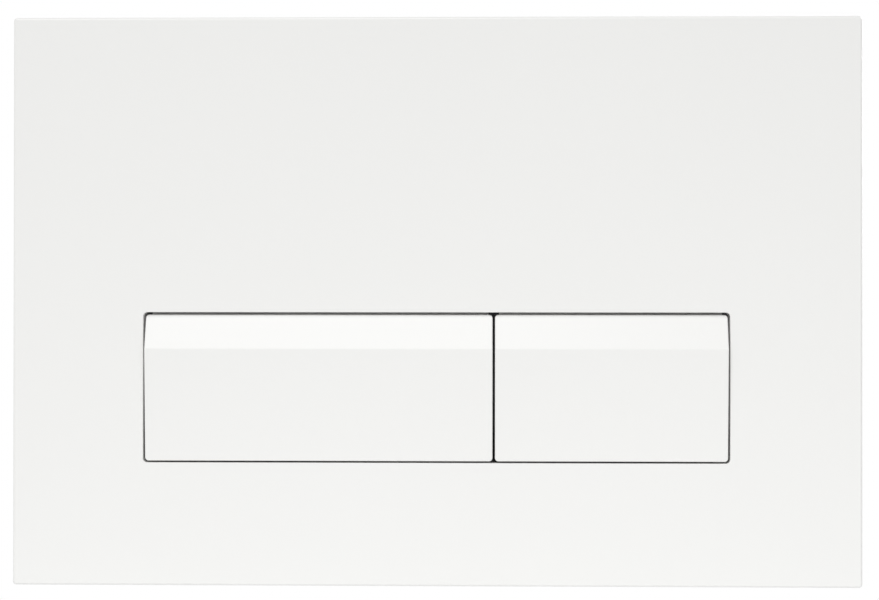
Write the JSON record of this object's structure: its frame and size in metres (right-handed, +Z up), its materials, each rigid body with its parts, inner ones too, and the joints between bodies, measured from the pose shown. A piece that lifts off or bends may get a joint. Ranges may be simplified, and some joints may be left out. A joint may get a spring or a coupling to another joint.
{
  "type": "flush button plate",
  "caption": "Flush plate for a concealed cistern: flat white cover with a wide and a narrow ridged button on sprung hinges, guided push rods, a carrier and a clip-on wall frame.",
  "frame": {"origin": "centre of the cover plate's outline, on the wall's surface", "axes": "+X to the right as seen from the front, +Y into the wall, +Z up; the plate faces -Y"},
  "size_m": [0.246, 0.077, 0.165],
  "materials": {
    "white_gloss": "glossy moulded white",
    "carrier_plastic": "fine matt moulding",
    "frame_plastic": "fine matt moulding",
    "rod_plastic": "natural satin",
    "rod_thread_plastic": "satin",
    "fixing_plastic": "fine matt moulding",
    "zinc_steel": "bright zinc plate",
    "pin_steel": "ground",
    "spring_steel": "drawn wire"
  },
  "bodies": {
    "plate": {"cover_plate": "white_gloss", "button_carrier": "carrier_plastic", "mounting_frame": "frame_plastic", "left_fixing_screw": "fixing_plastic", "right_fixing_screw": "fixing_plastic", "carrier_screws": "zinc_steel", "left_fixing_washer": "zinc_steel", "right_fixing_washer": "zinc_steel", "large_hinge_pin": "pin_steel", "small_hinge_pin": "pin_steel", "large_return_spring": "spring_steel", "small_return_spring": "spring_steel"},
    "large_button": {"large_button": "white_gloss"},
    "small_button": {"small_button": "white_gloss"},
    "large_push_rod": {"large_push_sleeve": "rod_plastic", "large_push_screw": "rod_thread_plastic", "large_push_locknut": "rod_thread_plastic"},
    "small_push_rod": {"small_push_sleeve": "rod_plastic", "small_push_screw": "rod_thread_plastic", "small_push_locknut": "rod_thread_plastic"}
  },
  "joints": [
    {"name": "large_button_press", "type": "hinge", "parent": "plate", "child": "large_button", "pos_m": [-0.03397, -0.008, -0.0403], "axis": [-1, 0, 0], "range_deg": [0, 9], "stiffness_Nm_per_rad": 0.8, "springref_deg": -5.73, "deforming": ["large_return_spring"]},
    {"name": "small_button_press", "type": "hinge", "parent": "plate", "child": "small_button", "pos_m": [0.05078, -0.008, -0.0403], "axis": [-1, 0, 0], "range_deg": [0, 9], "stiffness_Nm_per_rad": 0.8, "springref_deg": -5.73, "deforming": ["small_return_spring"]},
    {"name": "large_rod_slide", "type": "slide", "parent": "plate", "child": "large_push_rod", "axis": [0, 1, 0], "range_m": [0, 0.0041]},
    {"name": "small_rod_slide", "type": "slide", "parent": "plate", "child": "small_push_rod", "axis": [0, 1, 0], "range_m": [0, 0.0041]}
  ],
  "couplings": [
    {"joint": "large_rod_slide", "follows": "large_button_press", "m_per_rad": 0.026},
    {"joint": "small_rod_slide", "follows": "small_button_press", "m_per_rad": 0.026}
  ]
}
